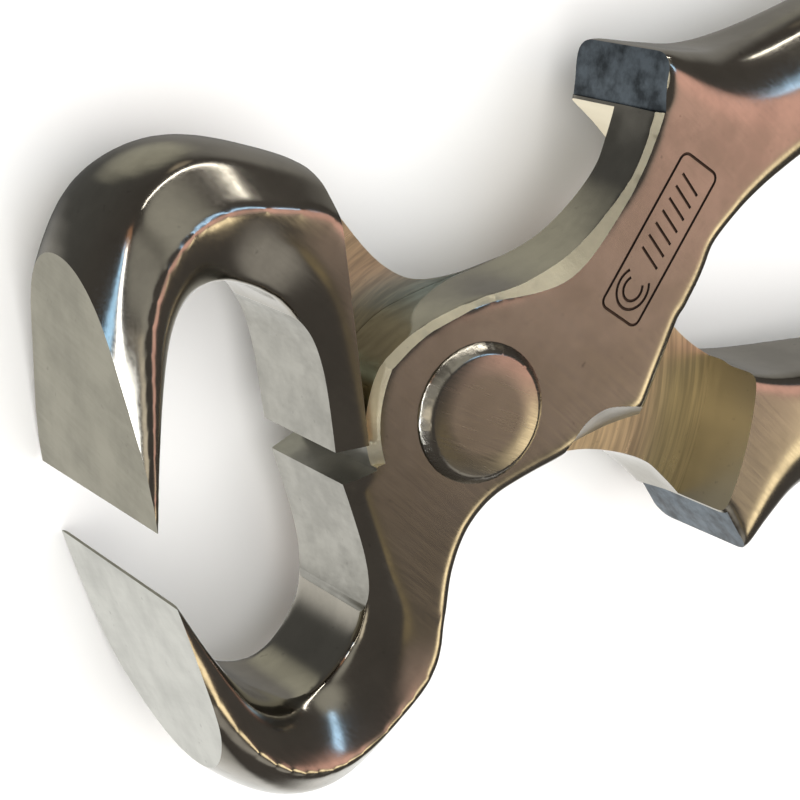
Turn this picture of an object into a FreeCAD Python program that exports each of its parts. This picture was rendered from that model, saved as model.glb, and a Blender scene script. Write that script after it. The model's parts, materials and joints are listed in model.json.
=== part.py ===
import FreeCAD, Part
import math, os

# Hoof nipper: two half-lapped arms that turn on one large rivet.
# Arm frame: origin on the pivot axis in the lap plane, +X towards the rein,
# +Z out of the arm's own cheek, jaw on the -Y side, drawn with the tool closed.
# Assembly frame: origin on the flat of the lower rivet head, +Z up the rivet.

SIZES = [
    ("joint_half_thickness", 11.5), ("lap_gap", 0.1), ("arm_opening_deg", 5.72),
    ("boss_radius", 17.5), ("jaw_wall_offset", 17.8), ("shoulder_radius", 49.0),
    ("shank_radius", 7.5), ("running_clearance", 0.05), ("head_gap", 0.1),
    ("head_radius", 10.1), ("head_top_radius", 8.6), ("head_height", 1.75),
    ("blade_half_width", 19.0), ("blade_reach", 52.95), ("edge_thickness", 0.4),
    ("closing_gap", 0.3), ("throat_half_width", 9.7),
    ("weld_station", 92.0), ("rein_end", 328.0),
]
BOSS_TURN = 0.85            # radians of the boss's edge, from the stop face to the neck
SLAB = (130.0, 160.0, 90.0)  # cutting blocks, larger than an arm's head

doc = FreeCAD.newDocument("hoof_nipper")
sheet = doc.addObject("Spreadsheet::Sheet", "sizes")
for row, (alias, value) in enumerate(SIZES, 1):
    sheet.set("A%d" % row, alias)
    sheet.set("B%d" % row, str(value))
    sheet.setAlias("B%d" % row, alias)
doc.recompute()


def size(alias):
    return float(getattr(sheet, alias))


def vec(x, y, z=0.0):
    return FreeCAD.Vector(x, y, z)


def bind(obj, **rules):
    """Drive properties of a document object from the sheet; Placement_Base_z is Placement.Base.z."""
    for prop, rule in rules.items():
        obj.setExpression(prop.replace("_", "."), rule)
    return obj


def feature(name, shape):
    obj = doc.addObject("Part::Feature", name)
    obj.Shape = shape
    return obj


def loft(name, wires, ruled):
    """A solid through a row of closed section wires."""
    obj = doc.addObject("Part::Loft", name)
    obj.Sections = [feature("%s_section_%d" % (name, i), w) for i, w in enumerate(wires)]
    obj.Solid, obj.Ruled = True, ruled
    return obj


def spline(points, z):
    curve = Part.BSplineCurve()
    curve.interpolate([vec(x, y, z) for x, y in points])
    return curve.toShape()


def polyline(points, z):
    ends = [vec(x, y, z) for x, y in points]
    return [Part.LineSegment(a, b).toShape() for a, b in zip(ends, ends[1:])]


def jaw_section(inner_x, inner_y, crest_x, crest_y, inner_half, outer_half, drop, lift):
    """Flat throat side, two flanks and a crowned outside, across the bent jaw."""
    low, high = vec(inner_x, inner_y), vec(crest_x, crest_y)
    run = high - low
    side = low + run * (1.0 - drop / run.Length)
    up = vec(0, 0, 1)
    a, b = low + up * inner_half, low - up * inner_half
    c, d = side - up * (outer_half - lift), side + up * (outer_half + lift)
    crown = Part.Arc(d, high + up * lift, c).toShape()
    return Part.Wire([Part.LineSegment(a, b).toShape(), Part.LineSegment(b, c).toShape(),
                      crown, Part.LineSegment(d, a).toShape()])


def between(rows, steps):
    """Catmull-Rom rows: the given rows with smooth ones worked out between them."""
    out = []
    for i in range(len(rows) - 1):
        a, b, c, d = (rows[max(i - 1, 0)], rows[i], rows[i + 1], rows[min(i + 2, len(rows) - 1)])
        for t in (k / steps for k in range(steps)):
            out.append([0.5 * (2 * q + (r - p) * t + (2 * p - 5 * q + 4 * r - s) * t ** 2
                               + (3 * q - p - 3 * r + s) * t ** 3)
                        for p, q, r, s in zip(a, b, c, d)])
    return out + [rows[-1]]


def jaw(name):
    """The hooked jaw, from the blade round the throat to the stop block."""
    throat = size("throat_half_width")
    wide = size("blade_half_width")
    tip = -size("closing_gap") / 2
    back = -size("blade_reach") + size("edge_thickness")
    stations = [
        (back, tip, -56.9, tip, wide, wide, 2.0, 0.0),
        (-50.6, -8.5, -58.4, -10.0, 17.4, 18.7, 4.2, 0.0),
        (-47.6, -16.5, -57.6, -20.5, 15.4, 18.0, 5.0, 0.6),
        (-44.4, -22.4, -53.4, -31.4, 13.4, 16.8, 5.0, 1.2),
        (-40.8, -25.8, -46.0, -40.3, 12.0, 15.4, 5.0, 1.2),
        (-36.0, -27.0, -36.0, -43.8, 11.0, 14.0, 5.0, 1.0),
        (-30.8, -25.3, -25.0, -40.8, 10.2, 12.8, 4.5, 0.6),
        (-26.0, -21.4, -15.6, -34.6, 9.8, 11.6, 3.5, 0.2),
        (-23.4, -14.0, -10.5, -21.0, throat, 11.4, 2.5, 0.0),
        (-22.4, tip, -8.0, tip, throat, 11.4, 2.0, 0.0),
    ]
    return loft(name, [jaw_section(*row) for row in between(stations, 3)], True)


def cheek(name):
    """Half-lap plate: boss, neck and inner wing, its walls leaning out to the lap face."""
    stop = -size("closing_gap") / 2
    boss = size("boss_radius")
    outlines = [
        (size("lap_gap") / 2,
         [(-4.6, 15.6), (5.0, 15.5), (15.0, 14.6), (23.3, 15.0), (31.3, 17.9), (36.7, 21.6), (41.3, 27.4)],
         [(50.0, 8.0), (44.0, 2.6), (38.5, -5.5), (31.2, -19.0)],
         [(31.2, -19.0), (24.0, -17.9), (14.0, -17.4), (5.3, -16.8), (-1.5, -17.6), (-5.6, -20.2),
          (-8.7, -23.8), (-12.0, -29.0), (-15.0, -34.0)]),
        (size("joint_half_thickness"),
         [(-4.6, 15.2), (5.0, 15.2), (13.0, 13.4), (20.9, 13.7), (30.5, 18.6), (36.2, 23.0), (41.3, 29.2)],
         [(50.0, 8.6), (43.6, 5.6), (37.5, 0.2), (24.8, -11.4)],
         [(24.8, -11.4), (17.5, -9.3), (11.4, -11.9), (1.6, -12.4), (-6.6, -15.3), (-11.2, -20.0),
          (-14.2, -25.8), (-18.0, -31.5)]),
    ]
    wires = []
    for z, neck, inner, heel in outlines:
        middle, end = [(-boss * math.cos(turn), boss * math.sin(turn)) for turn in (BOSS_TURN / 2, BOSS_TURN)]
        arc = Part.Arc(vec(-boss, stop, z), vec(*middle, z), vec(*end, z)).toShape()
        top = spline([end] + neck, z)
        ends = polyline([neck[-1], (50.0, 24.0), inner[0]], z)
        root = polyline([heel[-1], (-22.2, -20.0), (-22.2, stop), (-boss, stop)], z)
        wires.append(Part.Wire([arc, top] + ends + [spline(inner, z), spline(heel, z)] + root))
    return loft(name, wires, True)


def rounded_section(station, low, high, half, corner):
    """Rounded rectangle in the plane x = station: y from low to high, z within half."""
    def at(y, z):
        return vec(station, y, z)
    k = corner * (1.0 - math.sqrt(0.5))
    ys, zs = (low, high), (-half, half)
    corners = [(ys[0], zs[0], 1, 1), (ys[1], zs[0], -1, 1), (ys[1], zs[1], -1, -1), (ys[0], zs[1], 1, -1)]
    edges, arcs = [], []
    for i, (y, z, sy, sz) in enumerate(corners):
        along, across = at(y + sy * corner, z), at(y, z + sz * corner)
        first, last = (across, along) if i % 2 == 0 else (along, across)
        arcs.append((first, at(y + sy * k, z + sz * k), last))
    for i, (first, mid, last) in enumerate(arcs):
        edges.append(Part.Arc(first, mid, last).toShape())
        edges.append(Part.LineSegment(last, arcs[(i + 1) % 4][0]).toShape())
    return Part.Wire(edges)


def shoulder(name):
    """Full-thickness block behind the joint, with the outer horn, down to the weld."""
    half = size("joint_half_thickness")
    stations = [(36.5, -3.0, 22.4, half, 0.8), (41.3, 1.0, 28.4, half, 1.0), (43.8, 3.4, 34.0, half, 2.0),
                (45.6, 4.6, 35.2, half, 2.8), (51.0, 7.0, 32.2, half, 4.4), (58.0, 8.4, 29.6, 11.4, 6.0),
                (70.0, 10.0, 28.8, 11.0, 7.5), (size("weld_station"), 13.4, 29.4, 9.6, 7.2)]
    return loft(name, [rounded_section(*station) for station in stations], True)


def rein(name):
    """Slim bowed handle bar, rounded in section, from the weld to its end."""
    end = size("rein_end")
    stations = [(size("weld_station"), 13.4, 29.4, 9.6, 7.2), (120.0, 17.2, 31.6, 8.2, 6.2),
                (160.0, 22.4, 35.8, 7.2, 5.4), (205.0, 27.4, 40.4, 6.8, 5.0), (255.0, 30.2, 43.2, 6.8, 5.0),
                (300.0, 29.8, 43.4, 7.0, 5.0), (end - 4.0, 28.4, 42.4, 7.0, 5.0), (end, 30.4, 40.4, 5.0, 3.5)]
    return loft(name, [rounded_section(*station) for station in stations], False)


def cylinder(name, radius, height, base_z):
    """An upright cylinder on the pivot axis."""
    obj = doc.addObject("Part::Cylinder", name)
    return bind(obj, Radius=radius, Height=height, Placement_Base_z=base_z)


def slab(name, base_x):
    """A block from base_x towards the rein, taller and wider than any arm."""
    obj = doc.addObject("Part::Box", name)
    obj.Length, obj.Width, obj.Height = SLAB
    obj.Placement.Base = vec(0, -SLAB[1] / 2, -SLAB[2] / 2)
    return bind(obj, Placement_Base_x=base_x)


def cut(name, base, tools):
    for i, tool in enumerate(tools):
        step = doc.addObject("Part::Cut", "%s_cut_%d" % (name, i))
        step.Base, step.Tool = base, tool
        base = step
    return base


def lap_recess(name):
    """Space below the lap face that belongs to the other arm's half."""
    disc = cylinder(name + "_disc", "sizes.shoulder_radius", "2 * sizes.joint_half_thickness",
                    "sizes.lap_gap / 2 - 2 * sizes.joint_half_thickness")
    recess = doc.addObject("Part::Common", name)
    recess.Base, recess.Tool = disc, slab(name + "_keep", "-sizes.jaw_wall_offset")
    return recess


def arm_forging(name, bore_radius, placement):
    """One arm's head: jaw, cheek plate and shoulder, milled, ground and bored."""
    blank = doc.addObject("Part::MultiFuse", name + "_blank")
    blank.Shapes = [jaw(name + "_jaw"), cheek(name + "_cheek"), shoulder(name + "_shoulder")]
    facet = slab(name + "_facet", "-sizes.blade_reach - %g" % SLAB[0])
    bore = cylinder(name + "_bore", bore_radius, "4 * sizes.joint_half_thickness",
                    "-2 * sizes.joint_half_thickness")
    head = cut(name, blank, [lap_recess(name + "_recess"), facet, bore])
    head.Label = name
    head.Placement = placement
    return head


def rivet(name):
    """Peened rivet: shank with a flat-topped conical head at each end."""
    shank = cylinder("rivet_shank", "sizes.shank_radius",
                     "2 * sizes.joint_half_thickness + sizes.head_gap", "sizes.head_height")
    heads = []
    for which, radii, base in (("lower", ("top_radius", "radius"), "0"),
                               ("upper", ("radius", "top_radius"),
                                "sizes.head_height + 2 * sizes.joint_half_thickness + sizes.head_gap")):
        cone = doc.addObject("Part::Cone", "rivet_head_" + which)
        bind(cone, Radius1="sizes.head_" + radii[0], Radius2="sizes.head_" + radii[1],
             Height="sizes.head_height", Placement_Base_z=base)
        heads.append(cone)
    whole = doc.addObject("Part::MultiFuse", name)
    whole.Shapes = [heads[0], shank, heads[1]]
    whole.Label = name
    return whole


def arm_places():
    """Where the two arm frames stand with the tool open as it rests."""
    lap = size("head_height") + size("head_gap") + size("joint_half_thickness")
    swing = size("arm_opening_deg")
    z_axis, x_axis = vec(0, 0, 1), vec(1, 0, 0)
    front = FreeCAD.Placement(vec(0, 0, lap), FreeCAD.Rotation(z_axis, swing))
    turned = FreeCAD.Rotation(z_axis, -swing) * FreeCAD.Rotation(x_axis, 180)
    return front, FreeCAD.Placement(vec(0, 0, lap), turned)


front_place, back_place = arm_places()
front_head = arm_forging("front_arm_forging", "sizes.shank_radius", front_place)
back_head = arm_forging("back_arm_forging", "sizes.shank_radius + sizes.running_clearance", back_place)
front_rein = rein("front_rein")
back_rein = rein("back_rein")
front_rein.Placement, back_rein.Placement = front_place, back_place
parts = {"front_arm_forging": front_head, "back_arm_forging": back_head,
         "front_rein": front_rein, "back_rein": back_rein, "pivot_rivet": rivet("pivot_rivet")}
doc.recompute()

for obj in doc.Objects:
    if "Invalid" in obj.State or "Error" in obj.State:
        raise RuntimeError("%s did not build: %s" % (obj.Name, obj.State))
os.makedirs("parts", exist_ok=True)
for node, obj in parts.items():
    if obj.Shape.isNull() or not obj.Shape.isValid():
        raise RuntimeError(node + " has no valid shape")
    obj.Shape.exportStep("parts/%s.step" % node)
    span = obj.Shape.BoundBox
    print("%-18s solids %d volume %8.0f mm3  x %7.2f %7.2f  y %7.2f %7.2f  z %6.2f %6.2f" % (
        node, len(obj.Shape.Solids), obj.Shape.Volume, span.XMin, span.XMax, span.YMin, span.YMax,
        span.ZMin, span.ZMax))
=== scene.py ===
# %% [markdown]
# # A farrier's hoof nipper
# The tool is two copies of one steel forging, half-lapped and held by a single big rivet.
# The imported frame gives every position: the rivet's joint, the arms and their size.
# This cell loads it and keeps the box of the working model, which the looks must stay inside.

# %% load the frame
import bmesh, bpy, json, math
from mathutils import Matrix, Vector


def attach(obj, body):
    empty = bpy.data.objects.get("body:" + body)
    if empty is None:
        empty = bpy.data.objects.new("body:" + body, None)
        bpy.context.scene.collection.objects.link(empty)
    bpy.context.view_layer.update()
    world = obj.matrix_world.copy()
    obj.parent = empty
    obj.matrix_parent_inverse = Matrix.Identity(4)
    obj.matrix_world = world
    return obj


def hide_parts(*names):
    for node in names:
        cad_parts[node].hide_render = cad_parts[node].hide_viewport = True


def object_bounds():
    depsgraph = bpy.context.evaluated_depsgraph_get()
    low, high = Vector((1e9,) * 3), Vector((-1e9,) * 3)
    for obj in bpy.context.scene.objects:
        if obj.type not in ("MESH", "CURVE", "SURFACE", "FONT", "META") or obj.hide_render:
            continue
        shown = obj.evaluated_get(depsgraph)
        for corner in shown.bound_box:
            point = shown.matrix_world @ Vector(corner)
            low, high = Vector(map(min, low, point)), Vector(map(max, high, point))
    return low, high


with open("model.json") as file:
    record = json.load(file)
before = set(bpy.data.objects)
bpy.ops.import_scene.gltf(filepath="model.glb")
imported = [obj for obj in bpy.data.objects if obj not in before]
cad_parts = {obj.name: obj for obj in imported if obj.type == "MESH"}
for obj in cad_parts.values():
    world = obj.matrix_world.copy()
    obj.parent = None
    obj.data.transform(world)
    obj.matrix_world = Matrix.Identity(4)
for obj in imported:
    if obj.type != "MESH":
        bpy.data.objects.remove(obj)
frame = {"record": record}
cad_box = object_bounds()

PIVOT = Vector(frame["record"]["behaviour"]["joints"][0]["pos_m"])
MM = 0.001
print("pivot at", tuple(PIVOT), "and the box is", cad_box)

# %% [markdown]
# ## The maker's measures
# Each arm is drawn in its own frame, in millimetres, as it lies when the tool is shut: pivot at
# the origin, rein along +X, jaw below the X axis, cheek upwards. Working in millimetres keeps
# the numbers readable; one matrix per arm brings the finished mesh to metres and to its place.

# %% measures of one arm
HALF = 11.5            # half the joint's thickness, lap face to cheek
LAP = 0.05             # clearance of each lap face from the middle plane
BOSS_R = 17.5          # boss that turns inside the other arm
WALL_X = 17.8          # ground flank of the other jaw, beside the boss
STEP_R = 49.0          # turned step where the full thickness starts again
BLADE_X = 52.95        # flat ground outside of the blade
SHUT = 0.15            # half the gap that is left between shut blades
WELD_X = 92.0          # where the rein is joined to the forging
SHANK_R = 7.5
OPEN_DEG = 5.72        # each arm's swing from shut, as the tool rests
FAR = 90.0             # well past every surface that a cutter has to clear


def arm_matrix(turned_over):
    """From the arm's own frame in millimetres to the part's frame in metres."""
    swing = math.radians(-OPEN_DEG if turned_over else OPEN_DEG)
    flip = Matrix.Rotation(math.pi if turned_over else 0.0, 4, "X")
    return Matrix.Translation(PIVOT) @ Matrix.Rotation(swing, 4, "Z") @ flip @ Matrix.Scale(MM, 4)


FRONT, BACK = arm_matrix(False), arm_matrix(True)
print("blade edge of the front arm at", tuple(FRONT @ Vector((-BLADE_X, 0, 0))))

# %% [markdown]
# ## The camera
# The view looks down over the jaws at about 55 degrees. A long lens from a third of a metre
# keeps the near blade from growing too much. Setting it first lets every later step be judged.

# %% camera
lens = bpy.data.cameras.new("close_lens")
lens.sensor_width = 36.0
lens.lens = 105.5
lens.clip_start = 0.01
camera = bpy.data.objects.new("camera", lens)
camera.location = PIVOT + Vector((-146.03, 122.87, 273.30)) * MM
camera.rotation_euler = [math.radians(a) for a in (-15.282, -30.933, -12.936)]
bpy.context.collection.objects.link(camera)
bpy.context.scene.camera = camera
print("camera stands", round((camera.location - PIVOT).length, 3), "m from the rivet")

# %% [markdown]
# ## Meshes from rings and outlines
# A forging swells and thins all along its length, so most of it is a row of rings skinned with
# quads. A few given stations are enough: a Catmull-Rom curve works out the rings between them.

# %% ring helpers


def between(rows, steps):
    """The given rows, with smooth ones worked out between each pair."""
    out = []
    for i in range(len(rows) - 1):
        a, b, c, d = rows[max(i - 1, 0)], rows[i], rows[i + 1], rows[min(i + 2, len(rows) - 1)]
        for t in (k / steps for k in range(steps)):
            out.append([0.5 * (2 * q + (r - p) * t + (2 * p - 5 * q + 4 * r - s) * t ** 2
                               + (3 * q - p - 3 * r + s) * t ** 3)
                        for p, q, r, s in zip(a, b, c, d)])
    return out + [list(rows[-1])]


def skin(name, rings, caps=True):
    """A closed mesh through rings that have the same number of points."""
    count = len(rings[0])
    points = [tuple(p) for ring in rings for p in ring]
    faces = []
    for i in range(len(rings) - 1):
        for j in range(count):
            k = (j + 1) % count
            faces.append((i * count + j, i * count + k, (i + 1) * count + k, (i + 1) * count + j))
    if caps:
        faces.append(tuple(reversed(range(count))))
        faces.append(tuple(range((len(rings) - 1) * count, len(rings) * count)))
    mesh = bpy.data.meshes.new(name)
    mesh.from_pydata(points, [], faces)
    obj = bpy.data.objects.new(name, mesh)
    bpy.context.collection.objects.link(obj)
    outward(mesh)
    return obj


def outward(mesh):
    """Turn every face outwards, whichever way the rings ran."""
    work = bmesh.new()
    work.from_mesh(mesh)
    bmesh.ops.recalc_face_normals(work, faces=work.faces[:])
    work.to_mesh(mesh)
    work.free()


def prism(name, outline, low, high):
    """A straight-sided block on a plan outline."""
    return skin(name, [[(x, y, low) for x, y in outline], [(x, y, high) for x, y in outline]])


def block(name, low, high):
    (x0, y0, z0), (x1, y1, z1) = low, high
    return prism(name, [(x0, y0), (x1, y0), (x1, y1), (x0, y1)], z0, z1)


def arc(radius, start, end, steps):
    """Points on a circle about the pivot, angles in degrees."""
    turns = [math.radians(start + (end - start) * k / steps) for k in range(steps + 1)]
    return [(radius * math.cos(a), radius * math.sin(a)) for a in turns]


print("ring helpers ready")

# %% [markdown]
# ## The forged blank: the hooked jaw
# Across the hook the steel has a narrow throat floor, a hollowed slope up to a ridge, a flank
# and a crowned outside. The floor, slope and flank are worked out from a few widths at each
# station, so the hook can be widened towards the blade without moving any point by hand.

# %% one ring of the jaw
FLOOR_STEPS, SLOPE_STEPS, FLANK_STEPS, CROWN_STEPS = 4, 7, 3, 10
CROWN_POWER = 2.2      # above 2 the crown is flatter on top and rounder at the brow


def jaw_ring(inner_x, inner_y, crest_x, crest_y, floor, ridge, ridge_up, hip, hip_up, brow, brow_drop,
             lift, bow):
    """One ring across the jaw, from the throat floor over ridge, hip and brow to the crown.

    floor, ridge, hip and brow are half-widths; bow near 0 makes the slope boxy, 0.5 makes it flat."""
    low = Vector((inner_x, inner_y, 0.0))
    run = Vector((crest_x, crest_y, 0.0)) - low
    tall = run.length
    out = run / tall
    half = [(0.0, floor * k / FLOOR_STEPS) for k in range(FLOOR_STEPS + 1)]
    bend = (ridge_up * bow, floor + (ridge - floor) * (0.9 - 0.8 * bow))
    for k in range(1, SLOPE_STEPS + 1):
        t = k / SLOPE_STEPS
        half.append((2 * t * (1 - t) * bend[0] + t * t * ridge_up,
                     (1 - t) ** 2 * floor + 2 * t * (1 - t) * bend[1] + t * t * ridge))
    corners = [(ridge_up, ridge), (hip_up, hip), (tall - brow_drop, brow)]
    for (u0, w0), (u1, w1) in zip(corners, corners[1:]):
        for k in range(1, FLANK_STEPS + 1):
            half.append((u0 + (u1 - u0) * k / FLANK_STEPS, w0 + (w1 - w0) * k / FLANK_STEPS))
    for k in range(1, CROWN_STEPS + 1):
        w = brow * (1 - k / CROWN_STEPS)
        half.append((tall - brow_drop * (w / brow) ** CROWN_POWER, w))
    right = [low + out * up + Vector((0, 0, w + lift * up / tall)) for up, w in half]
    left = [low + out * up + Vector((0, 0, -w + lift * up / tall)) for up, w in half[1:-1]]
    return right + left[::-1]


print("a ring is drawn in", FLOOR_STEPS + SLOPE_STEPS + 2 * FLANK_STEPS + CROWN_STEPS, "steps a side")

# %% [markdown]
# The table below walks round the hook from the cutting edge to the stop block. The last two
# columns say how much of the hand grinding each station gets, because the two arms come out of
# one die but were finished by eye: one crown is fuller, and one edge falls away beside the blade.

# %% jaw stations
JAW = [
    # inner point, crest point, floor, ridge and its height, hip and its height, brow and its drop,
    # lift, bow, share of the crown's fullness, share of the fall beside the blade
    (-53.3, 3.0, -56.6, 3.0, 18.8, 19.3, 0.5, 19.3, 1.2, 19.2, 1.6, 0.0, 0.1, 0.0, 0.0),
    (-52.55, -0.15, -56.9, -0.6, 18.2, 19.1, 0.7, 19.1, 1.6, 19.0, 2.2, 0.0, 0.1, 0.0, 0.3),
    (-50.4, -8.5, -58.4, -10.0, 16.6, 18.4, 1.7, 18.7, 2.9, 18.6, 3.9, 0.0, 0.12, 0.0, 0.8),
    (-47.5, -16.5, -57.6, -20.5, 14.0, 17.4, 3.2, 17.9, 4.4, 17.4, 4.5, 0.6, 0.15, 0.2, 1.0),
    (-44.2, -22.3, -53.4, -31.4, 11.0, 16.0, 4.8, 16.7, 6.2, 14.6, 3.8, 1.2, 0.2, 0.6, 0.5),
    (-40.6, -25.7, -46.0, -40.6, 9.0, 14.4, 5.6, 15.3, 8.2, 11.2, 2.8, 1.2, 0.25, 1.0, 0.0),
    (-36.0, -26.9, -36.0, -44.0, 8.4, 13.1, 7.4, 13.8, 9.8, 8.6, 1.9, 1.0, 0.3, 1.0, 0.0),
    (-30.8, -25.2, -24.8, -41.0, 8.8, 12.0, 7.4, 12.8, 11.0, 7.8, 1.7, 0.6, 0.38, 0.7, 0.0),
    (-26.0, -21.0, -15.2, -34.8, 9.6, 11.4, 6.0, 11.6, 13.4, 7.8, 1.6, 0.2, 0.5, 0.4, 0.0),
    (-23.8, -14.0, -10.8, -20.6, 10.1, 11.4, 4.8, 11.5, 11.6, 9.4, 1.4, 0.0, 0.5, 0.0, 0.0),
    (-23.0, 3.0, -9.0, 3.0, 10.1, 11.4, 5.0, 11.5, 11.2, 9.4, 1.2, 0.0, 0.5, 0.0, 0.0),
]


def jaw_blank(fullness, fall):
    """The hook, from just past the cutting edge round to the stop block.

    fullness is how much higher, in mm, the grinder left this arm's crown; fall is how much it
    took off the edge beside the blade."""
    rings = []
    for in_x, in_y, out_x, out_y, *low, hip, hip_up, brow, drop, lift, bow, share, loss in between(JAW, 4):
        ground = fall * loss
        out = Vector((out_x - in_x, out_y - in_y)).normalized() * fullness * share
        rings.append(jaw_ring(in_x, in_y, out_x + out.x, out_y + out.y, *low, hip - 0.3 * ground,
                              hip_up - 0.35 * ground, brow - ground, drop + 0.5 * ground, lift, bow))
    return skin("jaw_blank", rings)


print("jaw drawn from", len(JAW), "stations")

# %% [markdown]
# ## The blank: cheek plate and shoulder
# The cheek is a thick plate whose walls lean out towards the lap face, drawn as one outline on
# each face. The shoulder behind it is full thickness, has the outer horn, and runs on as the
# first stretch of the rein, so it is a row of rounded rectangles.

# %% cheek and shoulder


def curve(points, steps=5):
    return [tuple(p) for p in between([list(p) for p in points], steps)]


def cheek_outline(neck, inner, heel):
    """Plan outline of the plate: boss, neck, back, inner edge, heel and stop block."""
    boss = arc(BOSS_R, 180, 131, 10)
    root = [(-20.0, -26.0), (-21.4, -14.0), (-21.4, -1.0)]
    return boss + curve([boss[-1]] + neck, 5)[1:] + [(50.0, 24.0)] + curve(inner, 5) \
        + curve([inner[-1]] + heel, 5)[1:] + root


def cheek_blank():
    lap_side = cheek_outline(
        [(-4.6, 15.6), (5.0, 15.5), (15.0, 14.6), (23.3, 15.0), (31.3, 17.9), (36.7, 21.6), (41.3, 27.4)],
        [(50.0, 8.0), (44.0, 2.6), (38.5, -5.5), (31.6, -19.6)],
        [(24.0, -18.6), (14.0, -17.6), (5.3, -16.8), (-1.5, -17.6), (-5.6, -20.2), (-8.7, -23.8),
         (-12.0, -29.0), (-15.0, -33.6)])
    face_side = cheek_outline(
        [(-4.6, 15.2), (5.0, 15.2), (13.0, 13.6), (20.9, 13.9), (30.5, 18.6), (36.2, 23.0), (41.3, 29.2)],
        [(50.0, 8.6), (43.6, 5.6), (37.5, 0.2), (25.4, -12.2)],
        [(17.5, -11.4), (11.4, -12.4), (5.0, -12.4), (-1.6, -12.8), (-7.0, -15.3), (-11.2, -20.0),
         (-14.2, -25.8), (-18.0, -31.5)])
    rings = [[(x, y, -4.0) for x, y in lap_side], [(x, y, 0.0) for x, y in lap_side],
             [(x, y, HALF) for x, y in face_side]]
    return skin("cheek_blank", rings)


def rounded_ring(x, low, high, half, outer_y, outer_z, inner, steps=6):
    """A bar's section at station x: a wide rounding on its outer side, a tighter one inside."""
    ring = []
    for sy, sz, start in ((1, 1, 0), (-1, 1, 90), (-1, -1, 180), (1, -1, 270)):
        ry, rz = (outer_y, outer_z) if sy > 0 else (inner, inner)
        cy = (high - ry) if sy > 0 else (low + ry)
        cz = sz * (half - rz)
        for k in range(steps + 1):
            a = math.radians(start + 90 * k / steps)
            ring.append((x, cy + ry * math.cos(a), cz + rz * math.sin(a)))
    return ring


SHOULDER = [
    # station, lowest y, highest y, half thickness, outer rounding along y and z, inner rounding
    (36.5, -2.0, 21.6, HALF, 1.0, 1.0, 1.0), (41.3, 2.0, 28.0, HALF, 1.0, 1.0, 1.0),
    (43.6, 4.6, 33.8, HALF, 1.6, 1.4, 1.0), (45.4, 5.9, 35.0, HALF, 4.0, 2.6, 1.2),
    (51.0, 8.3, 32.4, HALF, 8.5, 4.6, 1.6), (58.0, 9.9, 29.8, 11.4, 10.5, 7.0, 2.4),
    (70.0, 11.3, 28.9, 10.95, 11.0, 8.6, 3.6), (WELD_X, 13.5, 29.3, 9.55, 8.6, 8.0, 6.0)]
PAST_WELD = (95.0, 14.0, 29.5, 9.4, 8.4, 7.8, 6.0)


def shoulder_blank():
    return skin("shoulder_blank", [rounded_ring(*row) for row in between(SHOULDER + [PAST_WELD], 4)])


print("shoulder drawn from", len(SHOULDER), "stations")

# %% [markdown]
# ## From three solids to one forging
# Steel flows in the die, so the three solids have to melt into each other. A voxel remesh makes
# one skin of them and a smoothing pass turns their meeting lines into fillets. Everything that
# a machine cuts later stays crisp, because it is cut after this step, as in the workshop.

# %% forge the blank


def applied(obj, name):
    """A new object holding the mesh that the modifiers make."""
    graph = bpy.context.evaluated_depsgraph_get()
    mesh = bpy.data.meshes.new_from_object(obj.evaluated_get(graph))
    fresh = bpy.data.objects.new(name, mesh)
    bpy.context.collection.objects.link(fresh)
    return fresh


def drop(*objs):
    for obj in objs:
        bpy.data.objects.remove(obj)


def joined(name, objs):
    """All the given meshes in one, still overlapping."""
    points, faces = [], []
    for obj in objs:
        base = len(points)
        points += [tuple(v.co) for v in obj.data.vertices]
        faces += [tuple(base + i for i in p.vertices) for p in obj.data.polygons]
    mesh = bpy.data.meshes.new(name)
    mesh.from_pydata(points, [], faces)
    whole = bpy.data.objects.new(name, mesh)
    bpy.context.collection.objects.link(whole)
    return whole


VOXEL, EASE, EASE_PASSES = 0.48, 0.5, 24


def forge(name, fullness, fall):
    """Melt the three solids into one blank."""
    solids = [jaw_blank(fullness, fall), cheek_blank(), shoulder_blank()]
    rough = joined("rough", solids)
    melt = rough.modifiers.new("melt", "REMESH")
    melt.mode = "VOXEL"
    melt.voxel_size = VOXEL
    ease = rough.modifiers.new("ease", "SMOOTH")
    ease.factor = EASE
    ease.iterations = EASE_PASSES
    blank = applied(rough, name)
    drop(rough, *solids)
    return blank


print("forge ready")

# %% [markdown]
# ## Finishes
# Bare steel has no colour of its own to speak of: it shows what it reflects. What tells its
# surfaces apart is mostly the grain that the last tool left, so every finish below is the same metal
# with another scratch pattern, roughness and amount of dark pits; a few also carry painted light or
# shade in their tone. Two small helpers come first: one makes a node and links what feeds it, the other a
# noise.

# %% node helpers


def node(tree, kind, feeds=None, **values):
    """A new node: values sets its settings or inputs, feeds links inputs to other outputs."""
    made = tree.nodes.new(kind)
    for key, value in values.items():
        if hasattr(made, key):
            setattr(made, key, value)
        else:
            made.inputs[key.replace("_", " ")].default_value = value
    for key, source in (feeds or {}).items():
        tree.links.new(source, made.inputs[key])
    return made


def noise(tree, where, scale, detail, roughness):
    made = node(tree, "ShaderNodeTexNoise", {"Vector": where}, Scale=scale, Detail=detail,
                Roughness=roughness)
    return made.outputs["Fac"]


def blend(tree, amount, first, second):
    """A colour mix; each of the two is a colour or another node's output."""
    made = node(tree, "ShaderNodeMix", {0: amount}, data_type="RGBA")
    for socket, value in ((6, first), (7, second)):
        if isinstance(value, tuple):
            made.inputs[socket].default_value = (*value, 1.0)
        else:
            tree.links.new(value, made.inputs[socket])
    return made.outputs[2]


def times(tree, value, factor, kind="ShaderNodeMath", **more):
    made = node(tree, kind, {0: value}, operation="MULTIPLY", **more)
    made.inputs[1].default_value = factor
    return made.outputs[0]


print("node helpers ready")

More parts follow.
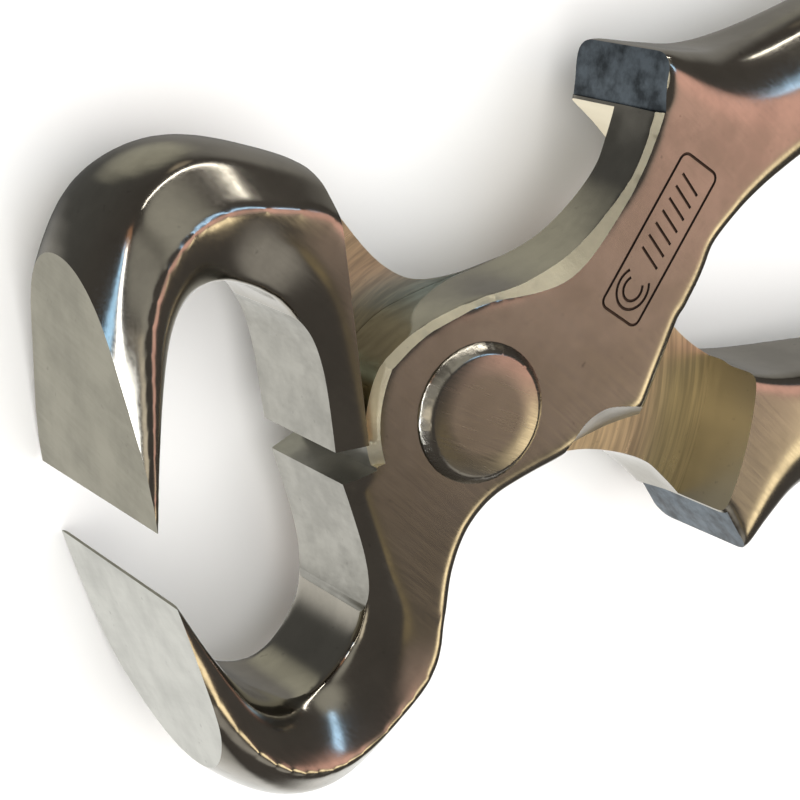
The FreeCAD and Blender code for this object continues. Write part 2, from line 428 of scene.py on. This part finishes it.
# %% [markdown]
# A grinding belt leaves long parallel scratches, and a lathe leaves rings. Both are one noise seen
# through bent coordinates: squeezed along one turned axis for the belt, and measured as radius
# and direction from the rivet for the lathe.

# %% two kinds of grain
RING_PITCH, RING_BREAKS = 1300.0, 2.2


def belt_grain(tree, where, grain, grain_turn):
    """Coordinates turned by grain_turn degrees, then stretched by grain."""
    turn = node(tree, "ShaderNodeMapping", {"Vector": where}, vector_type="TEXTURE")
    turn.inputs["Rotation"].default_value = [math.radians(a) for a in grain_turn]
    stretch = node(tree, "ShaderNodeMapping", {"Vector": turn.outputs["Vector"]})
    stretch.inputs["Scale"].default_value = grain
    return stretch.outputs["Vector"]


def lathe_grain(tree, where):
    """Coordinates that run round the pivot: the grain of a face turned about the rivet."""
    centred = node(tree, "ShaderNodeVectorMath", {0: where}, operation="SUBTRACT")
    centred.inputs[1].default_value = PIVOT
    flat = times(tree, centred.outputs["Vector"], (1.0, 1.0, 0.0), "ShaderNodeVectorMath")
    far = node(tree, "ShaderNodeVectorMath", {0: flat}, operation="LENGTH")
    radius = times(tree, far.outputs["Value"], RING_PITCH)
    way = node(tree, "ShaderNodeVectorMath", {0: flat}, operation="NORMALIZE")
    wide = node(tree, "ShaderNodeVectorMath", {0: way.outputs["Vector"]}, operation="SCALE",
                Scale=RING_BREAKS)
    apart = node(tree, "ShaderNodeSeparateXYZ", {"Vector": wide.outputs["Vector"]}).outputs
    both = node(tree, "ShaderNodeCombineXYZ", {"X": apart["X"], "Y": apart["Y"], "Z": radius})
    return both.outputs["Vector"]


print("grains ready")

# %% [markdown]
# The metal itself: the scratches make a fine bump and vary the roughness, a cloudy noise stains
# the tone, and a fine one leaves a few dark pits.

# %% steel
PIT_SIZE, PIT_TONE = 650.0, (0.05, 0.045, 0.04)
SCRATCH_SHARE, CLOUD_SHARE = 0.55, 0.45


def steel(name, tone, low_rough, high_rough, grain, grain_turn, grain_depth, mottle=0.84,
          cloud_size=110.0, rings=False):
    """A metal with scratches, cloudy roughness and small pits.

    grain is the scale of the scratches along X, Y and Z once turned; mottle is how the tone
    changes in the clouds, or from ring to ring."""
    finish = bpy.data.materials.new(name)
    finish.use_nodes = True
    tree = finish.node_tree
    tree.nodes.clear()
    where = node(tree, "ShaderNodeTexCoord").outputs["Object"]
    grained = lathe_grain(tree, where) if rings else belt_grain(tree, where, grain, grain_turn)
    scratch = noise(tree, grained, 1.0, 3.0, 0.6)
    cloud = noise(tree, where, cloud_size, 4.0, 0.6)
    speck = noise(tree, where, PIT_SIZE, 2.0, 0.5)
    stain = node(tree, "ShaderNodeMapRange", {"Value": scratch if rings else cloud}, From_Min=0.38,
                 From_Max=0.62)
    pits = node(tree, "ShaderNodeMapRange", {"Value": speck}, From_Min=0.70, From_Max=0.80, To_Max=0.3)
    shade = blend(tree, stain.outputs["Result"], tone, tuple(c * mottle for c in tone))
    pitted = blend(tree, pits.outputs["Result"], shade, PIT_TONE)
    wear = node(tree, "ShaderNodeMath", {0: scratch, 2: times(tree, cloud, CLOUD_SHARE)},
                operation="MULTIPLY_ADD")
    wear.inputs[1].default_value = SCRATCH_SHARE
    rough = node(tree, "ShaderNodeMapRange", {"Value": wear.outputs[0]}, From_Min=0.35, From_Max=0.65,
                 To_Min=low_rough, To_Max=high_rough)
    lines = node(tree, "ShaderNodeBump", {"Height": scratch}, Strength=1.0, Distance=grain_depth)
    looks = {"Base Color": pitted, "Roughness": rough.outputs["Result"], "Normal": lines.outputs["Normal"]}
    shader = node(tree, "ShaderNodeBsdfPrincipled", looks, Metallic=1.0)
    node(tree, "ShaderNodeOutputMaterial", {"Surface": shader.outputs["BSDF"]})
    return finish


def buffed_and_shaded_by_side(finish):
    """Faces that stand on edge, the outside of the hooks, are buffed smoother and get painted shade, a darker
    colour; faces that lie flat stay satin.
    """
    tree = finish.node_tree
    shader = next(n for n in tree.nodes if n.type == "BSDF_PRINCIPLED")
    place = next(n for n in tree.nodes if n.type == "TEX_COORD")
    apart = node(tree, "ShaderNodeSeparateXYZ", {"Vector": place.outputs["Normal"]})
    steep = node(tree, "ShaderNodeMath", {0: apart.outputs["Z"]}, operation="ABSOLUTE")
    lies = node(tree, "ShaderNodeMapRange", {"Value": steep.outputs[0]}, interpolation_type="SMOOTHSTEP",
                From_Min=0.55, From_Max=0.80)
    # painted shade: faces on edge get 0.85 of the colour; their lower roughness is the real buffing
    for socket, share in (("Base Color", 0.85), ("Roughness", 0.75)):
        made = shader.inputs[socket].links[0].from_socket
        less = node(tree, "ShaderNodeVectorMath", {0: made}, operation="SCALE", Scale=share)
        mix = blend(tree, lies.outputs["Result"], less.outputs["Vector"], made)
        tree.links.new(mix, shader.inputs[socket])


print("steel ready")

# %% [markdown]
# Eleven finishes are enough for the tool: forged and buffed with painted shade on the hooks' sides,
# ground with a painted lit facet and a painted shaded facet, turned with a painted gold sheen, filed
# with painted highlights, dark and mottled at the horn, and stamped.

# %% the tool's finishes
WARM_STEEL = (0.50, 0.47, 0.41)
STRAIGHT = (0, 0, 0)
BELT, FILE, FINE = (2600, 2600, 90), (900, 900, 900), (2200, 2200, 2200)
ROWS = {
    # finish: tone, low and high roughness, grain, its turn, its depth, and what is unusual
    # its sides get painted shade, a darker colour, from the function below
    "polished_forging_shaded_sides": (WARM_STEEL, 0.13, 0.24, (3000, 130, 3000), (0, 0, 35), 2.2e-6, {}),
    # the two facet tones are painted light: one ground finish as a painted shaded copy and a painted lit copy
    "ground_facet_painted_shade": ((0.38, 0.36, 0.29), 0.34, 0.44, BELT, (12, 0, 0), 1.5e-6, {}),
    "ground_facet_painted_lit": ((0.72, 0.72, 0.68), 0.36, 0.44, BELT, (-16, 0, 0), 1.2e-6, {}),
    # painted sheen: the gold tone stands in for the glint of the turned face; its rings are real grain
    "turned_lap_painted_sheen": ((0.92, 0.82, 0.60), 0.26, 0.44, FILE, STRAIGHT, 3.0e-6, {"mottle": 0.72, "rings": True}),
    "satin_wall": ((0.50, 0.49, 0.45), 0.30, 0.42, (1500, 1500, 500), STRAIGHT, 2.0e-6,
                   {"mottle": 0.86, "cloud_size": 200.0}),
    # painted highlight: the pale cream tone stands in for light caught by the chamfer
    "chamfer_painted_highlight": ((0.92, 0.85, 0.66), 0.40, 0.55, FINE, STRAIGHT, 4.0e-5, {}),
    # painted highlight: the near-white tone stands in for light caught by the wing's bevel
    "wing_bevel_painted_highlight": ((0.95, 0.95, 0.93), 0.40, 0.50, FILE, STRAIGHT, 2.0e-6, {}),
    "horn_dark_mottle": ((0.05, 0.06, 0.07), 0.28, 0.46, FILE, STRAIGHT, 3.0e-6,
                   {"mottle": 3.6, "cloud_size": 240.0}),
    "engraved_line": ((0.16, 0.12, 0.10), 0.45, 0.60, FILE, STRAIGHT, 2.0e-6, {}),
    "rivet_steel": (WARM_STEEL, 0.17, 0.30, (3400, 110, 900), (0, 0, 52), 4.0e-6, {}),
    "rein_steel": (WARM_STEEL, 0.12, 0.26, (120, 3600, 3600), STRAIGHT, 1.6e-6, {}),
}
FINISHES = {name: steel(name, *row, **unusual) for name, (*row, unusual) in ROWS.items()}
buffed_and_shaded_by_side(FINISHES["polished_forging_shaded_sides"])
print("finishes:", ", ".join(FINISHES))

# %% [markdown]
# ## Machining the forging
# Each cutter below is one tool of the workshop: the lathe cut that makes the lap face and the
# step round the pivot, the grinder that flattens the blade, the file that breaks the outer
# edge. A boolean leaves the cutter's own finish on the new face, which gives each cut its grain.

# %% large cutters


def cut(obj, cutter, finish):
    """Take the cutter's volume from the object; the new faces get the finish."""
    cutter.data.materials.clear()
    cutter.data.materials.append(FINISHES[finish])
    tool = obj.modifiers.new("cut", "BOOLEAN")
    tool.operation, tool.solver, tool.object = "DIFFERENCE", "EXACT", cutter
    tool.material_mode = "TRANSFER"
    result = applied(obj, obj.name)
    print("after", cutter.name, len(result.data.polygons), "faces")
    drop(cutter, obj)
    return result


def lap_cutter():
    """Everything that makes room for the other arm: inside the step, behind the flank wall."""
    edge = math.degrees(math.acos(WALL_X / STEP_R))
    return prism("lap_cutter", arc(STEP_R, 180 - edge, edge - 180, 160), -40.0, LAP)


def tip_cutter():
    """Shuts off the blade and the stop block at the closing plane, and rounds the boss beside it."""
    boss = arc(BOSS_R, 180 + math.degrees(math.asin(SHUT / BOSS_R)), 134, 24)
    return prism("tip_cutter", [(-FAR, -SHUT)] + boss + [(-14.0, 24.0), (-FAR, 24.0)], -FAR, FAR)


def throat_cutter():
    """The ground face of the stop block and the run of the throat floor behind it."""
    face = curve([(-22.4, 6.0), (-22.45, -6.0), (-22.75, -12.0), (-23.6, -16.5), (-25.2, -19.6),
                  (-28.2, -22.4)], 6)
    return prism("throat_cutter", face + [(-38.0, -20.0), (-38.0, 6.0)], -30.0, 30.0)


def scallop_cutter():
    """The hollow bevel on the inside of the cheek, from its face edge down to the lap face."""
    face_edge = curve([(10.5, -12.6), (13.2, -11.0), (15.6, -9.7), (18.3, -9.2), (21.0, -9.7),
                       (26.5, -12.4)], 6)
    lap_edge = curve([(10.5, -18.4), (14.6, -18.0), (18.8, -17.8), (23.0, -17.9), (27.2, -18.3),
                      (33.5, -19.6)], 6)
    rings = []
    for t in (1.35, 0.0, -0.3):
        rings.append([(fx + (lx - fx) * (1 - t), fy + (ly - fy) * (1 - t), HALF * t)
                      for (fx, fy), (lx, ly) in zip(face_edge, lap_edge)])
    far = [[(x, -40.0, z) for x, _, z in ring] for ring in rings]
    shell = [near + away[::-1] for near, away in zip(rings, far)]
    return skin("scallop_cutter", shell)


print("large cutters ready")

# %% [markdown]
# The outer edge is broken by hand with a belt, so its width wanders: narrow round the boss and
# up the horn, and wide where the neck runs into the boss. One slanted section is swept along the
# edge and scaled by that width.

# %% edge cutters
CHAMFER_WIDTHS = [1.5, 1.5, 1.3, 1.1, 1.1, 1.9, 1.3, 1.1, 1.1, 1.2, 1.2]
CHAMFER_SECTION = [(-1.6, 0.6), (-1.0, 0.0), (1.2, -2.2), (4.0, -5.0), (4.0, 4.0), (-1.6, 4.0)]


def chamfer_cutter():
    """The broken edge round the boss, along the neck and up the horn."""
    edge = arc(BOSS_R, 179, 131, 12) + curve(
        [(-11.5, 13.2), (-4.6, 15.2), (5.0, 15.2), (13.0, 13.6), (20.9, 13.9), (30.5, 18.6), (36.2, 23.0),
         (41.0, 28.6), (43.4, 33.4), (44.6, 37.5)], 6)[1:]
    widths = between([[wide] for wide in CHAMFER_WIDTHS], (len(edge) - 1) // (len(CHAMFER_WIDTHS) - 1) + 1)
    rings = []
    for i, (x, y) in enumerate(edge):
        ahead, behind = Vector(edge[min(i + 1, len(edge) - 1)]), Vector(edge[max(i - 1, 0)])
        along = (ahead - behind).normalized()
        out = Vector((-along.y, along.x))
        wide = widths[min(i, len(widths) - 1)][0]
        rings.append([(x + out.x * off * wide, y + out.y * off * wide, HALF + up * wide)
                      for off, up in CHAMFER_SECTION])
    return skin("chamfer_cutter", rings)


def horn_cutter():
    """The steep outer end of the horn, dark and mottled."""
    face = [(41.5, 27.4), (43.3, 31.4), (44.25, 33.3), (45.2, 35.2)]
    return prism("horn_cutter", face + [(38.0, 42.0), (33.0, 31.0)], -30.0, 30.0)


print("edge cutters ready")

# %% [markdown]
# A shallow stamp marks the cheek. It is a plain pattern of a rounded frame, a horseshoe and some
# bars, and each of its lines is a small tapered trench that follows a path.

# %% stamp
MARK_AT, MARK_TURN, MARK_LONG, MARK_WIDE, MARK_ROUND = (35.3, 10.5), 37.0, 25.0, 7.4, 1.2
GROOVE, GROOVE_DEEP, GROOVE_OVER = 0.68, 0.20, 0.3
SHOE_AT, SHOE_GAP = -8.0, 50
BAR_PLACES = (-3.0, -1.0, 1.0, 3.0, 5.0, 7.0, 9.0)


def groove(points, closed):
    """A shallow trench that follows a line on the cheek; points are along and across the mark."""
    turn = math.radians(MARK_TURN)
    c, s = math.cos(turn), math.sin(turn)
    line = [Vector((MARK_AT[0] + u * c - v * s, MARK_AT[1] + u * s + v * c)) for u, v in points]
    rings = []
    for i, point in enumerate(line):
        ahead = line[(i + 1) % len(line)] if closed else line[min(i + 1, len(line) - 1)]
        behind = line[i - 1] if closed or i else line[0]
        along = (ahead - behind).normalized()
        side = Vector((-along.y, along.x)) * GROOVE / 2
        low, high = HALF - GROOVE_DEEP, HALF + GROOVE_OVER
        rings.append([(*(point - side), high), (*(point - side * 0.4), low), (*(point + side * 0.4), low),
                      (*(point + side), high)])
    if closed:
        return skin("groove", rings + [rings[0]], caps=False)
    return skin("groove", rings)


def mark_cutter():
    """A rounded frame, a horseshoe of two lines and seven slanted bars."""
    frame_line = []
    r = MARK_ROUND
    for su, sv, start in ((1, 1, 0), (-1, 1, 90), (-1, -1, 180), (1, -1, 270)):
        for k in range(6):
            a = math.radians(start + 90 * k / 5)
            frame_line.append((su * (MARK_LONG / 2 - r) + r * math.cos(a),
                               sv * (MARK_WIDE / 2 - r) + r * math.sin(a)))
    shoes = []
    for reach in (2.7, 1.6):
        turns = [math.radians(SHOE_GAP + (360 - 2 * SHOE_GAP) * k / 24) for k in range(25)]
        shoes.append([(SHOE_AT + reach * 1.15 * math.cos(a), reach * math.sin(a)) for a in turns])
    bars = [[(u - 0.7, -2.1), (u + 0.7, 2.1)] for u in BAR_PLACES]
    lines = [groove(frame_line, True)] + [groove(line, False) for line in shoes + bars]
    whole = joined("mark_cutter", lines)
    drop(*lines)
    return whole


print("stamp ready")

# %% [markdown]
# The order of work matters: the closing plane and the lap come first, while the blank is whole,
# and the rivet hole is drilled last.

# %% order of work


def machined(name, fullness, fall, facet_finish_and_light, stamped):
    """A blank with every cut made."""
    part = forge(name, fullness, fall)
    part.data.materials.append(FINISHES["polished_forging_shaded_sides"])
    part = cut(part, tip_cutter(), "satin_wall")
    part = cut(part, lap_cutter(), "turned_lap_painted_sheen")
    part = cut(part, block("facet", (-FAR, -FAR, -FAR), (-BLADE_X, FAR, FAR)), facet_finish_and_light)
    part = cut(part, throat_cutter(), "satin_wall")
    part = cut(part, scallop_cutter(), "wing_bevel_painted_highlight")
    part = cut(part, horn_cutter(), "horn_dark_mottle")
    part = cut(part, chamfer_cutter(), "chamfer_painted_highlight")
    if stamped:
        part = cut(part, mark_cutter(), "engraved_line")
    part = cut(part, block("weld", (WELD_X, -FAR, -FAR), (FAR + 60, FAR, FAR)), "rein_steel")
    return cut(part, prism("bore", arc(SHANK_R, 0, 354, 59), -40.0, 40.0), "turned_lap_painted_sheen")


print("tools ready")

# %% [markdown]
# ## Two arms from one forging
# The back arm is the same forging turned over about the tool's centre line, which is why the
# real tool needs only one set of dies.

# %% arms


def soften(mesh, angle=27):
    """Smooth shading that breaks only at machined edges."""
    mesh.shade_smooth()
    mesh.set_sharp_from_angle(angle=math.radians(angle))


def arm(name, fullness, fall, facet_finish_and_light, stamped, matrix, body, cad_node):
    """One finished head, moved to its place, riding on its body."""
    piece = machined(name, fullness, fall, facet_finish_and_light, stamped)
    piece.data.transform(matrix)
    soften(piece.data)
    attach(piece, body)
    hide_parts(cad_node)
    return piece


# the front arm's facet has the painted lit tone, the back arm's the painted shaded tone
front_head = arm("front_head", -0.9, 0.0, "ground_facet_painted_lit", True, FRONT, "front_arm", "front_arm_forging")
back_head = arm("back_head", 0.8, 2.4, "ground_facet_painted_shade", False, BACK, "back_arm", "back_arm_forging")
print("faces:", len(front_head.data.polygons), len(back_head.data.polygons))

# %% [markdown]
# ## The reins
# Behind the weld each arm draws out to a slim bar with a slight bow, rounded all over so that it
# doesn't cut into the hand.

# %% reins
REIN = [
    (WELD_X, 13.5, 29.3, 9.55, 8.6, 8.0, 6.0), (120.0, 17.4, 31.4, 8.1, 7.4, 7.0, 6.0),
    (160.0, 22.6, 35.6, 7.1, 6.4, 6.2, 5.8), (205.0, 27.6, 40.2, 6.7, 6.0, 6.0, 5.6),
    (255.0, 30.4, 43.0, 6.7, 6.0, 6.0, 5.6), (300.0, 30.0, 43.2, 6.9, 6.2, 6.1, 5.8),
    (320.0, 29.0, 42.4, 6.9, 6.2, 6.1, 5.8), (325.6, 29.3, 41.8, 6.4, 5.8, 5.6, 5.4),
    (327.9, 31.6, 39.2, 3.9, 3.5, 3.5, 3.5)]


def rein(name, matrix, body, cad_node):
    """One handle bar, moved to its place, riding on its body."""
    rings = [rounded_ring(*row, steps=7) for row in between(REIN, 10)]
    piece = skin(name, rings)
    piece.data.transform(matrix)
    piece.data.materials.append(FINISHES["rein_steel"])
    soften(piece.data, 40)
    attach(piece, body)
    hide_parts(cad_node)
    return piece


front_rein = rein("front_rein_bar", FRONT, "front_arm", "front_rein")
back_rein = rein("back_rein_bar", BACK, "back_arm", "back_rein")
print("rein bars have", len(front_rein.data.polygons), "and", len(back_rein.data.polygons), "faces")

# %% [markdown]
# ## The rivet
# A headed steel pin, closed cold: the rim of each head shows the small blows that spread it, and
# the flat has been faced with a grinder. It is turned as a lathe profile and then nudged.

# %% rivet
HEAD_R, TOP_R, HEAD_UP, HEAD_GAP = 10.08, 8.7, 1.72, 0.1
RIVET_SIDES, BLOW_DEEP = 180, 0.10


def rivet():
    """One revolved profile, lower flat to upper flat."""
    upper = [(SHANK_R - 0.02, HALF - 1.0), (SHANK_R - 0.02, HALF + 0.02), (HEAD_R - 0.25, HALF + 0.02),
             (HEAD_R, HALF + 0.22), (HEAD_R - 0.12, HALF + 0.5), (TOP_R + 0.55, HALF + 1.18),
             (TOP_R + 0.15, HALF + 1.60), (TOP_R - 0.25, HALF + HEAD_UP),
             (TOP_R * 0.6, HALF + HEAD_UP + 0.015), (0.4, HALF + HEAD_UP + 0.02)]
    lower = [(r, -z - HEAD_GAP) for r, z in upper][::-1]
    rings = []
    for r, z in lower + upper:
        ring = []
        for k in range(RIVET_SIDES):
            a = 2 * math.pi * k / RIVET_SIDES
            on_rim = max(0.0, 1 - abs(abs(z) - HALF - 0.8) / 0.7) if r > TOP_R else 0.0
            blow = 0.5 * math.sin(37 * a + z) + 0.35 * math.sin(61 * a + 2.1) + 0.4 * math.sin(13 * a + 0.7)
            rr = r - BLOW_DEEP * on_rim * (1 + blow)
            ring.append((rr * math.cos(a), rr * math.sin(a), z))
        rings.append(ring)
    piece = skin("rivet", rings)
    piece.data.transform(Matrix.Translation(PIVOT) @ Matrix.Scale(MM, 4))
    piece.data.materials.append(FINISHES["rivet_steel"])
    soften(piece.data, 35)
    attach(piece, "front_arm")
    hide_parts("pivot_rivet")
    return piece


pin = rivet()
print("rivet heads", 2 * HEAD_R, "mm across,", len(pin.data.polygons), "faces")

# %% [markdown]
# ## The floor
# A plain pale floor catches the shadow. Its rim sweeps up into a backdrop, so that a low view
# has no horizon. The steel doesn't mirror it: what the steel mirrors is set apart, further down.

# %% floor
FLOOR_SIDES, FLOOR_DROP, FLOOR_THICK = 96, 0.0004, 0.01
FLOOR_RIM = [(0.002, 0.0), (2.0, 0.0), (2.6, 0.08), (3.1, 0.35), (3.4, 0.9), (3.5, 2.6)]


def floor():
    """A round floor, turned from a profile in metres."""
    low = min(p[2] for p in cad_box) - FLOOR_DROP
    rings = []
    for r, up in FLOOR_RIM + [(r + FLOOR_THICK, up - FLOOR_THICK) for r, up in FLOOR_RIM[::-1]]:
        turns = [2 * math.pi * k / FLOOR_SIDES for k in range(FLOOR_SIDES)]
        rings.append([(r * math.cos(a), r * math.sin(a), low + up) for a in turns])
    plane = skin("floor", rings)
    paint = bpy.data.materials.new("pale_floor")
    paint.use_nodes = True
    shader = paint.node_tree.nodes["Principled BSDF"]
    shader.inputs["Base Color"].default_value = (0.86, 0.86, 0.85, 1)
    shader.inputs["Roughness"].default_value = 0.9
    plane.data.materials.append(paint)
    soften(plane.data, 40)
    plane.visible_glossy = False
    return plane


floor()
print("floor is", 2 * FLOOR_RIM[1][0], "m wide before it rises")

# %% [markdown]
# ## Lamps and soft boxes
# Polished steel is a mirror, so the lights' places matter as much as their power. One wide lamp
# overhead lights the floor only. The four soft boxes stand where a crowned edge shows them as a
# line: one draws the long bright line on the hooks, two the white and blue ones beside the upper
# blade, and one the sky-blue band on the shoulders.

# %% lamps
BOX_AWAY = 1.3


def towards(azimuth, elevation):
    """The unit vector of a direction in degrees."""
    a, e = math.radians(azimuth), math.radians(elevation)
    return Vector((math.cos(a) * math.cos(e), math.sin(a) * math.cos(e), math.sin(e)))


def lamp(name, place, wide_m, tall_m, power, colour):
    """An area lamp at a place from the pivot, aimed at the pivot."""
    light = bpy.data.lights.new(name, "AREA")
    light.shape, light.size, light.size_y = "RECTANGLE", wide_m, tall_m
    light.energy, light.color = power, colour
    obj = bpy.data.objects.new(name, light)
    obj.location = PIVOT + place
    obj.rotation_euler = (-place).to_track_quat("-Z", "Y").to_euler()
    obj.visible_camera = False
    bpy.context.collection.objects.link(obj)
    return obj


def soft_box(name, azimuth, elevation, wide_m, tall_m, glow, colour):
    """A soft box in a direction from the tool, given by how bright it looks."""
    return lamp(name, towards(azimuth, elevation) * BOX_AWAY, wide_m, tall_m,
                glow * math.pi * wide_m * tall_m, colour)


overhead = lamp("soft_top", Vector((-0.2, -0.12, 1.9)), 2.6, 2.6, 72, (1.0, 0.99, 0.98))
overhead.visible_glossy = False
soft_box("long_window", 73, 8, 1.5, 0.06, 10, (1.0, 0.97, 0.90))
soft_box("blue_window", 172, 0, 1.9, 0.12, 2.6, (0.35, 0.65, 1.0))
soft_box("white_window", 172, 9, 1.9, 0.12, 9, (0.95, 0.98, 1.0))
soft_box("sky_strip", 31, 50, 0.7, 0.18, 2.4, (0.42, 0.68, 1.0))

# %% [markdown]
# ## The room that the steel mirrors
# The rest of the reflections are broad soft areas of a dim warm room. Each is a direction, the
# angles at which it is full and gone, and a colour; later ones lie over earlier ones.

# %% room
ROOM_TONE = (0.09, 0.082, 0.075)
ROOM = [
    ((0, -90, 30, 80), (0.12, 0.12, 0.115)),      # dim ground
    ((-140, -50, 18, 46), (0.95, 0.94, 0.90)),    # light ground that the blades' facets face
    ((20, -40, 10, 40), (0.32, 0.31, 0.29)),      # ground beyond the shoulders
    ((70, -48, 6, 24), (0.55, 0.54, 0.45)),       # ground that the neck walls face
    ((66, -14, 2, 10), (0.50, 0.43, 0.33)),       # something brown, low in the hooks' crowns
    ((-24, 52, 2, 15), (0.50, 0.39, 0.33)),       # warm wall above the cheek
    ((-12, 44, 3, 18), (1.15, 0.68, 0.57)),       # its pink end
    ((-40, 37, 3, 10), (2.4, 2.0, 1.3)),          # glow that gilds the turned face
    ((-84, 36, 8, 24), (0.45, 0.43, 0.40)),       # grey wall, for views from the other side
    ((-72, -42, 8, 34), (1.1, 1.1, 1.08)),        # bright ground that the wing's bevel faces
    ((172, 34, 5, 20), (1.1, 1.0, 0.82)),         # pale wall that the chamfer faces
    ((78, 38, 8, 30), (0.46, 0.45, 0.40)),        # grey wall that the hooks' flanks face
    ((134, 38, 5, 25), (0.42, 0.41, 0.37)),       # more of it
    ((132, 4, 4, 12), (0.60, 0.33, 0.20)),        # something brown beside the upper blade
    ((-60, 60, 2, 9), (0.30, 0.24, 0.14)),        # faint gold near the heel
]


def patch(facing, azimuth, elevation, inside, outside):
    """1 within inside degrees of a direction, 0 past outside degrees."""
    near = node(tree, "ShaderNodeVectorMath", {0: facing}, operation="DOT_PRODUCT")
    near.inputs[1].default_value = towards(azimuth, elevation)
    edge = node(tree, "ShaderNodeMapRange", {"Value": near.outputs["Value"]}, interpolation_type="SMOOTHSTEP",
                From_Min=math.cos(math.radians(outside)), From_Max=math.cos(math.radians(inside)))
    return edge.outputs["Result"]


room = bpy.data.worlds.new("room")
bpy.context.scene.world = room
room.use_nodes = True
tree = room.node_tree
facing = node(tree, "ShaderNodeTexCoord").outputs["Generated"]
tone = ROOM_TONE
for where, colour in ROOM:
    tone = blend(tree, patch(facing, *where), tone, colour)
tree.links.new(tone, tree.nodes["Background"].inputs["Color"])
bpy.context.scene.view_settings.view_transform = "Standard"
print("the room has", len(ROOM), "soft areas")
